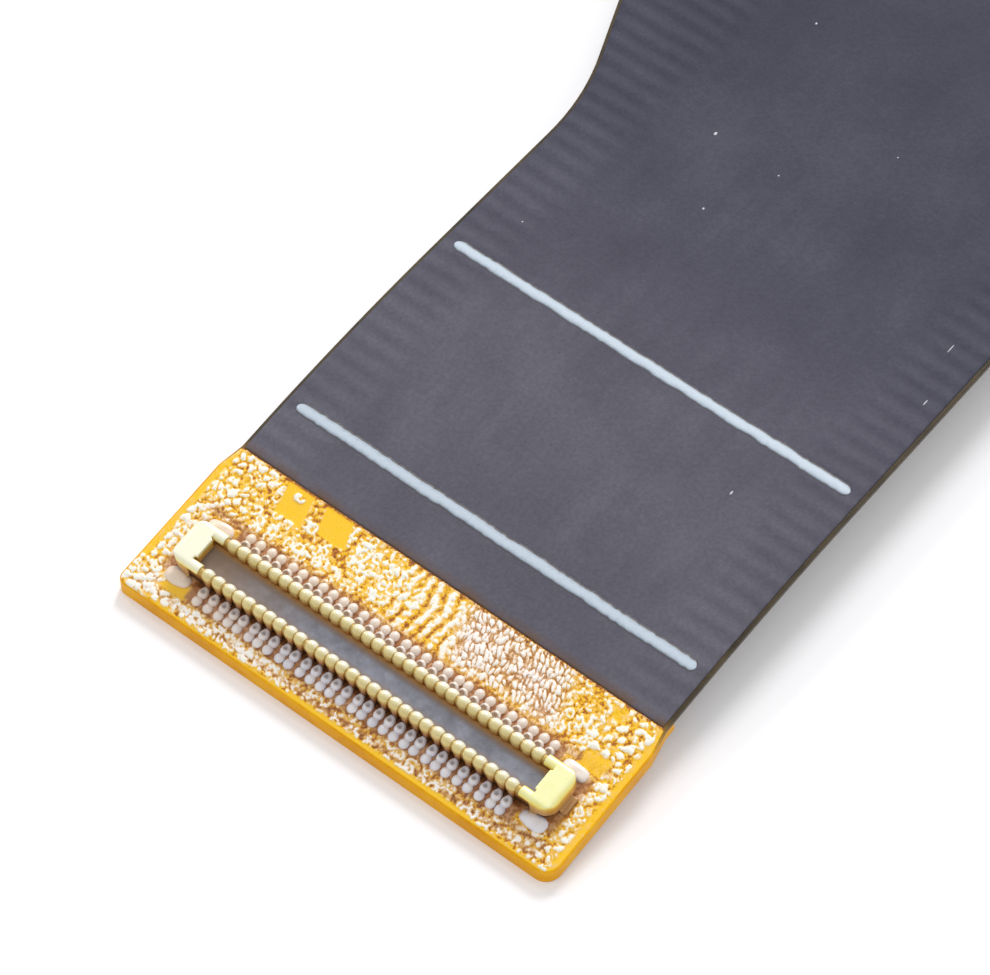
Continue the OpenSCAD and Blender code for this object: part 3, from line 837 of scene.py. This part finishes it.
class CABLE_OT_relief(bpy.types.Operator):
    """Makes the copper relief on the bare ends"""
    bl_idname = "flex_cable.relief"
    bl_label = "Copper relief"

    def execute(self, context):
        settings = context.scene.flex_cable
        step = settings.relief_step
        u = np.linspace(0.03, BARE - 0.005, int(BARE / step) + 1)
        t = np.linspace(-1, 1, int(BOARD_W / step) + 1)
        U, T = np.meshgrid(u, t, indexing="ij")
        Y = T * (np.where(T > 0, end_half(U, FLARED_TOE_R), end_half(U)) - 0.03)
        h, tone, blush, rough = relief_pattern(U, Y)
        border = np.minimum((1 - np.abs(T)) * BOARD_W / 2, np.minimum(U - u[0], u[-1] - U))
        lift = 0.002 + settings.relief_height * h * ramp(border, 0, 0.08)
        top = on_strip(U, Y, FLEX_T + np.where(border <= 0, -0.008, lift)).reshape(-1, 3)
        obj = make_object("relief_near", top, grid_faces(*U.shape))
        point_values(obj.data, tone=tone, blush=blush, rough=rough)
        with edited(obj.data) as bm:
            bmesh.ops.holes_fill(bm, edges=[e for e in bm.edges if e.is_boundary], sides=0)
            bmesh.ops.recalc_face_normals(bm, faces=bm.faces)
        obj.data.shade_smooth()
        finished(obj, finish("relief"))
        finished(far_copy(obj, "relief_far"), finish("relief"))
        return {"FINISHED"}


# ---- plug pieces ---------------------------------------------------------------------------

def contact_path():
    """Middle line of a contact's metal: inner leg, round wall top, outer leg, foot bend and tail."""
    def arc(x, v, radius, angles):
        return [(x + radius * math.cos(a), v + radius * math.sin(a)) for a in np.radians(angles)]

    top = WALL_T / 2 + METAL_T / 2
    wall_x, foot_x = ROW_GAP / 2, LEG_X + METAL_T + FOOT_R
    foot_v = 0.02 + METAL_T + FOOT_R
    pts = [(wall_x - top, v) for v in np.linspace(0.3, BEND_V, 4)[:-1]]
    pts += arc(wall_x, BEND_V, top, np.linspace(180, 0, 13))
    pts += [(wall_x + top, v) for v in np.linspace(BEND_V, foot_v, 5)[1:-1]]
    pts += arc(foot_x, foot_v, -(FOOT_R + METAL_T / 2), np.linspace(0, 90, 6))
    pts += [(x, 0.02 + METAL_T / 2) for x in np.linspace(foot_x, foot_x + TAIL, 6)[1:]]
    return np.array(pts)


def contact_mesh(width):
    """One contact in the plug's frame in mm: a crowned bead over the wall on narrower legs."""
    line = contact_path()
    along = np.gradient(line, axis=0)
    along /= np.linalg.norm(along, axis=1)[:, None]
    out = np.stack([-along[:, 1], along[:, 0]], axis=1)
    across = np.array([-1, -0.86, -0.6, -0.3, 0, 0.3, 0.6, 0.86, 1])
    verts = []
    for p, o in zip(line, out):
        top = float(ramp(np.array(p[1]), 0.3, BEND_V))
        wide, thin = width / 2 * (0.8 + 0.2 * top), 1.0
        if p[0] > LEG_X + METAL_T + FOOT_R:
            wide, thin = width * 0.2, 0.6
        swell = 0.016 * top
        for side, w in [(1, a) for a in across] + [(-1, a) for a in across[::-1]]:
            lift = METAL_T / 2
            if side > 0:
                lift += swell * (1 - w * w) - METAL_T * 0.55 * abs(w) ** 2.4
            q = p + o * lift * side * thin
            verts.append((q[0], w * wide, q[1]))
    ring = 2 * len(across)
    faces = [list(f) for f in grid_faces(len(line), ring, wrap=True)]
    faces.append(list(range(ring))[::-1])
    faces.append([len(verts) - ring + k for k in range(ring)])
    return np.array(verts), faces


def lobe_mesh(length, width, height, point=0.0, square=1.0):
    """A drop of solder on the circuit, long in X, in mm, rounder or squarer in plan."""
    verts, faces = [], []
    rings, around = 6, 14
    for k in range(rings):
        a = math.pi / 2 * k / rings
        for j in range(around):
            t = 2 * math.pi * j / around
            c, q = (math.copysign(abs(f(t)) ** square, f(t)) for f in (math.cos, math.sin))
            flat = math.cos(a) ** square
            narrow = 1 - 0.35 * point * max(0.0, -c)
            pull = 1 + point * max(0.0, -c)
            verts.append((length / 2 * flat * c * pull, width / 2 * flat * q * narrow, height * math.sin(a)))
    faces = [list(f) for f in grid_faces(rings, around, wrap=True)]
    verts.append((0, 0, height))
    top = len(verts) - 1
    faces += [[(rings - 1) * around + j, (rings - 1) * around + (j + 1) % around, top] for j in range(around)]
    faces.append(list(range(around))[::-1])
    return np.array(verts), faces


def row_tree(name):
    """Geometry nodes that repeat one piece along two facing rows."""
    tree = bpy.data.node_groups.new(name, "GeometryNodeTree")
    face = tree.interface
    sockets = {}
    face.new_socket("Geometry", in_out="OUTPUT", socket_type="NodeSocketGeometry")
    for label, kind, value in (("Piece", "NodeSocketObject", None), ("Count", "NodeSocketInt", ROW),
                               ("Spacing", "NodeSocketFloat", PITCH), ("Wobble", "NodeSocketFloat", 0.02),
                               ("Seed", "NodeSocketInt", 1), ("Finish", "NodeSocketMaterial", None)):
        socket = face.new_socket(label, in_out="INPUT", socket_type=kind)
        if value is not None:
            socket.default_value = value
        sockets[label] = socket.identifier

    def add(kind, inputs, **settings):
        """A node with its settings made and each input linked or filled; returns its first output."""
        node = tree.nodes.new(kind)
        for key, value in settings.items():
            setattr(node, key, value)
        for key, value in inputs.items():
            if isinstance(value, bpy.types.NodeSocket):
                tree.links.new(value, node.inputs[key])
            else:
                node.inputs[key].default_value = value
        return node.outputs[0]

    given = tree.nodes.new("NodeGroupInput").outputs
    steps = add("ShaderNodeMath", {0: given["Count"], 1: 0.5, 2: -0.5}, operation="MULTIPLY_ADD")
    reach = add("ShaderNodeMath", {0: steps, 1: given["Spacing"]}, operation="MULTIPLY")
    start = add("ShaderNodeMath", {0: reach, 1: -1}, operation="MULTIPLY")
    line = add("GeometryNodeMeshLine", {
        "Count": given["Count"],
        "Start Location": add("ShaderNodeCombineXYZ", {"Y": start}),
        "Offset": add("ShaderNodeCombineXYZ", {"Y": given["Spacing"]}),
    })
    info = tree.nodes.new("GeometryNodeObjectInfo")
    tree.links.new(given["Piece"], info.inputs["Object"])
    join = tree.nodes.new("GeometryNodeJoinGeometry")
    for number, turn in enumerate((0.0, math.pi)):
        low, high = (add("ShaderNodeVectorMath", {0: (sign * 0.4, sign * 0.25, sign), "Scale": given["Wobble"]},
                         operation="SCALE") for sign in (-1, 1))
        seed = add("FunctionNodeIntegerMath", {0: given["Seed"], 1: number * 17}, operation="ADD")
        wobble = add("FunctionNodeRandomValue", {"Min": low, "Max": high, "Seed": seed}, data_type="FLOAT_VECTOR")
        turned = add("ShaderNodeVectorMath", {0: wobble, 1: (0, 0, turn)}, operation="ADD")
        spots = add("GeometryNodeInstanceOnPoints",
                    {"Points": line, "Instance": info.outputs["Geometry"], "Rotation": turned})
        tree.links.new(spots, join.inputs[0])
    real = add("GeometryNodeRealizeInstances", {0: join.outputs[0]})
    paint = add("GeometryNodeSetMaterial", {"Geometry": real, "Material": given["Finish"]})
    tree.links.new(paint, tree.nodes.new("NodeGroupOutput").inputs[0])
    return tree, sockets


def build_rows(name, piece, finish_name, wobble, seed):
    """Runs the row tree on one piece and returns a plain mesh object placed in the model."""
    tree, sockets = row_tree(name + "_rows")
    host = make_object(name + "_host", [], [])
    modifier = host.modifiers.new("rows", "NODES")
    modifier.node_group = tree
    for label, value in (("Piece", piece), ("Count", ROW), ("Spacing", PITCH), ("Wobble", wobble),
                         ("Seed", seed), ("Finish", finish(finish_name))):
        modifier[sockets[label]] = value
    graph = bpy.context.evaluated_depsgraph_get()
    mesh = bpy.data.meshes.new_from_object(host.evaluated_get(graph), depsgraph=graph)
    mesh.name = name
    mesh.transform(plug_matrix())
    host.modifiers.clear()
    bpy.data.objects.remove(host)
    bpy.data.objects.remove(piece)
    return placed(name, mesh)


class CABLE_OT_contacts(bpy.types.Operator):
    """Makes the bent contacts in two rows on each plug"""
    bl_idname = "flex_cable.contacts"
    bl_label = "Contacts"

    def execute(self, context):
        settings = context.scene.flex_cable
        verts, faces = contact_mesh(settings.contact_width)
        piece = make_object("contact", verts, faces)
        recalculated(piece.data)
        sharp_by_angle(piece.data, 50)
        near = build_rows("contacts_near", piece, "gold", settings.contact_wobble, settings.seed)
        finished(near, finish("gold"), [f"contacts_near_{i}" for i in range(1, 31)])
        far = far_copy(near, "contacts_far")
        finished(far, finish("gold"), [f"contacts_far_{i}" for i in range(1, 11)])
        return {"FINISHED"}


# Place, length, width, height and point of the two drops at each tail, in mm.
DROPS = ((0.98, 0.42, 0.35, 0.19, 0.45), (1.28, 0.37, 0.34, 0.15, 0.0))
PAD_X, PAD_Y = 0.99, 6.79


class CABLE_OT_solder(bpy.types.Operator):
    """Makes the drops of solder on the tails and at the fittings' feet"""
    bl_idname = "flex_cable.solder"
    bl_label = "Solder"

    def execute(self, context):
        settings = context.scene.flex_cable
        verts, faces, dimple, base = [], [], [], 0
        for x, length, width, height, point in DROPS:
            v, f = lobe_mesh(length, width, height, point)
            hollow = np.clip(1 - np.hypot(v[:, 0] + 0.03, v[:, 1]) / 0.19, 0, 1) if point else v[:, 2] * 0
            v[:, 2] -= 0.05 * ramp(hollow, 0.3, 0.8)
            dimple.append(hollow)
            verts.append(v + np.array([x, 0, 0]))
            faces += [[base + i for i in face] for face in f]
            base += len(v)
        piece = make_object("drop", np.concatenate(verts), faces)
        recalculated(piece.data)
        point_values(piece.data, dimple=np.concatenate(dimple))
        near = build_rows("solder_near", piece, "solder", settings.contact_wobble, settings.seed)
        place = plug_matrix()
        with edited(near.data) as bm:
            for side, end in ((-1, -1), (-1, 1), (1, -1), (1, 1)):
                v, f = lobe_mesh(0.54, 0.94, 0.125, 0.0, 0.7)
                v[:, 0] *= 1 + 0.12 * np.sin(v[:, 1] * 5 + 2 * end + side)
                v[:, 2] *= 1 + 0.1 * np.sin(v[:, 1] * 9 + v[:, 0] * 12)
                v = v + np.array([side * PAD_X, end * PAD_Y, 0])
                made = [bm.verts.new(place @ Vector(q)) for q in v]
                for face in f:
                    bm.faces.new([made[i] for i in face]).smooth = True
            bmesh.ops.recalc_face_normals(bm, faces=bm.faces)
        finished(near, finish("solder"), ["solder_near_outer", "solder_near_inner"])
        far = far_copy(near, "solder_far")
        finished(far, finish("solder"), ["solder_far_outer", "solder_far_inner"])
        return {"FINISHED"}


def merged_copy(node, name):
    """A copy of a CAD node's mesh with its loose triangles joined."""
    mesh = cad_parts[node].data.copy()
    mesh.name = name
    with edited(mesh) as bm:
        bmesh.ops.remove_doubles(bm, verts=bm.verts, dist=2e-8)
        bmesh.ops.dissolve_limit(bm, angle_limit=math.radians(1), verts=bm.verts, edges=bm.edges)
    return placed(name, mesh)


def soft_metal(obj, voxel, rounds):
    """Remeshes a thin metal piece evenly and smooths its folds."""
    remesh = obj.modifiers.new("even", "REMESH")
    remesh.mode = "VOXEL"
    remesh.voxel_size = voxel * MM
    smooth = obj.modifiers.new("soft", "SMOOTH")
    smooth.factor = 0.5
    smooth.iterations = rounds
    graph = bpy.context.evaluated_depsgraph_get()
    mesh = bpy.data.meshes.new_from_object(obj.evaluated_get(graph), depsgraph=graph)
    obj.modifiers.clear()
    mesh.name = obj.name
    obj.data = mesh
    mesh.shade_smooth()


class CABLE_OT_fittings(bpy.types.Operator):
    """Makes the wrapped hold-down fittings with soft folds"""
    bl_idname = "flex_cable.fittings"
    bl_label = "Fittings"

    def execute(self, context):
        for side in ("left", "right"):
            obj = merged_copy(f"fitting_near_{side}", f"holddown_near_{side}")
            soft_metal(obj, 0.022, 5)
            finished(obj, finish("fitting"), [f"fitting_near_{side}"])
            far = far_copy(obj, f"holddown_far_{side}")
            finished(far, finish("fitting"), [f"fitting_far_{side}"])
        return {"FINISHED"}


class CABLE_OT_housings(bpy.types.Operator):
    """Makes the moulded housings with soft edges"""
    bl_idname = "flex_cable.housings"
    bl_label = "Housings"

    def execute(self, context):
        back = plug_matrix().inverted()
        obj = merged_copy("housing_near", "moulding_near")
        with edited(obj.data) as bm:
            sharp = [e for e in bm.edges if len(e.link_faces) == 2 and e.calc_face_angle(0) > math.radians(35)]
            bmesh.ops.bevel(bm, geom=sharp, offset=0.012 * MM, segments=2, profile=0.5, affect="EDGES",
                            clamp_overlap=True)
            layer = bm.faces.layers.float.new("wall")
            for face in bm.faces:
                at = back @ face.calc_center_median()
                face[layer] = float(abs(at.x) > ROW_GAP / 2 - WALL_T / 2 - 0.02 or at.z > 0.4)
        sharp_by_angle(obj.data, 60)
        finished(obj, finish("moulding"), ["housing_near"])
        finished(far_copy(obj, "moulding_far"), finish("moulding"), ["housing_far"])
        return {"FINISHED"}


class CABLE_OT_cord(bpy.types.Operator):
    bl_idname = "flex_cable.cord"
    bl_label = "Free cable"

    def execute(self, context):
        return {"FINISHED"}


# ---- stage ---------------------------------------------------------------------------------

LIGHT_AIM = Vector((-0.035, 0, 0))
LIGHT_DISTANCE = 0.6
# Direction from what is lit, size in metres and power of each lamp.
LIGHTS = {"key": ((1.0, 0.36, 0.95), 0.2, 1.7), "glint_left": ((0.25, 0.8, 0.8), 0.05, 0.25),
          "glint_back": ((0.95, 0.4, 0.42), 0.05, 0.5)}
FLOOR_GLOW = 0.13
SKY = 0.7
# Camera: lens in mm, place in mm from the middle of the near toe, heading and dip.
LENS = 4397.79 * 36 / 990
CAMERA_AT = (-50.169, -46.314, 110.552)
HEADING, DIP = math.radians(38.63), math.radians(55.16)


class CABLE_OT_stage(bpy.types.Operator):
    """Makes the floor, the soft light and the camera"""
    bl_idname = "flex_cable.stage"
    bl_label = "Stage"

    def execute(self, context):
        scene = context.scene
        floor = make_object("floor", [(-3, -3, 0), (3, -3, 0), (3, 3, 0), (-3, 3, 0)], [(0, 1, 2, 3)])
        s = Shader("pale_floor")
        grain = s.noise(s.coords(), 0.05, 2)
        s.set(Base_Color=s.colours(grain, (0.3, 244, 243, 246), (0.7, 248, 247, 249)), Roughness=0.9)
        s.set(Specular_IOR_Level=0.1)
        path = s.add("ShaderNodeLightPath").outputs
        glow = s.add("ShaderNodeEmission")
        seen = s.math("MAXIMUM", path["Is Glossy Ray"], path["Is Transmission Ray"])
        seen = s.math("MAXIMUM", path["Is Camera Ray"], seen)
        s.link(s.math("MULTIPLY", seen, FLOOR_GLOW), glow.inputs["Strength"])
        both = s.add("ShaderNodeAddShader")
        s.link(s.bsdf.outputs[0], both.inputs[0])
        s.link(glow.outputs[0], both.inputs[1])
        s.link(both.outputs[0], s.nodes["Material Output"].inputs["Surface"])
        floor.data.materials.append(s.material)

        world = bpy.data.worlds.new("studio")
        world.use_nodes = True
        scene.world = world
        sky = world.node_tree.nodes["Background"]
        sky.inputs["Color"].default_value = (1, 1, 1, 1)
        sky.inputs["Strength"].default_value = SKY

        for name, (direction, size, power) in LIGHTS.items():
            data = bpy.data.lights.new(name, "AREA")
            data.shape = "DISK"
            data.size = size
            data.energy = power
            lamp = placed(name, data)
            way = Vector(direction).normalized()
            lamp.location = LIGHT_AIM + way * LIGHT_DISTANCE
            lamp.rotation_euler = (-way).to_track_quat("-Z", "Y").to_euler()

        data = bpy.data.cameras.new("camera")
        data.sensor_width = 36
        data.lens = LENS
        data.clip_start = 0.01
        camera = placed("camera", data)
        x, y, z = CAMERA_AT
        camera.location = ((x - TOE_X) * MM, (y + CENTRE_Y) * MM, z * MM)
        level = math.cos(DIP)
        aim = Vector((level * math.cos(HEADING), level * math.sin(HEADING), -math.sin(DIP)))
        camera.rotation_euler = aim.to_track_quat("-Z", "Y").to_euler()
        scene.camera = camera
        scene.view_settings.view_transform = "Standard"
        return {"FINISHED"}


class CABLE_PT_panel(bpy.types.Panel):
    """Lists the pieces of the flat flex cable"""
    bl_idname = "CABLE_PT_panel"
    bl_label = "Flat Flex Cable"
    bl_space_type = "VIEW_3D"
    bl_region_type = "UI"
    bl_category = "Flex Cable"

    def draw(self, context):
        for name in CableSettings.__annotations__:
            self.layout.prop(context.scene.flex_cable, name)
        for kind in PIECES:
            self.layout.operator(kind.bl_idname)


PIECES = (CABLE_OT_circuit, CABLE_OT_shield, CABLE_OT_lines, CABLE_OT_relief, CABLE_OT_housings,
          CABLE_OT_contacts, CABLE_OT_solder, CABLE_OT_fittings, CABLE_OT_cord, CABLE_OT_stage)
CLASSES = (CableSettings, *PIECES, CABLE_PT_panel)


def register():
    for kind in CLASSES:
        bpy.utils.register_class(kind)
    bpy.types.Scene.flex_cable = bpy.props.PointerProperty(type=CableSettings)


def unregister():
    del bpy.types.Scene.flex_cable
    for kind in reversed(CLASSES):
        bpy.utils.unregister_class(kind)


def main():
    register()
    for kind in PIECES:
        group, name = kind.bl_idname.split(".")
        getattr(getattr(bpy.ops, group), name)()


if __name__ == "__main__":
    main()
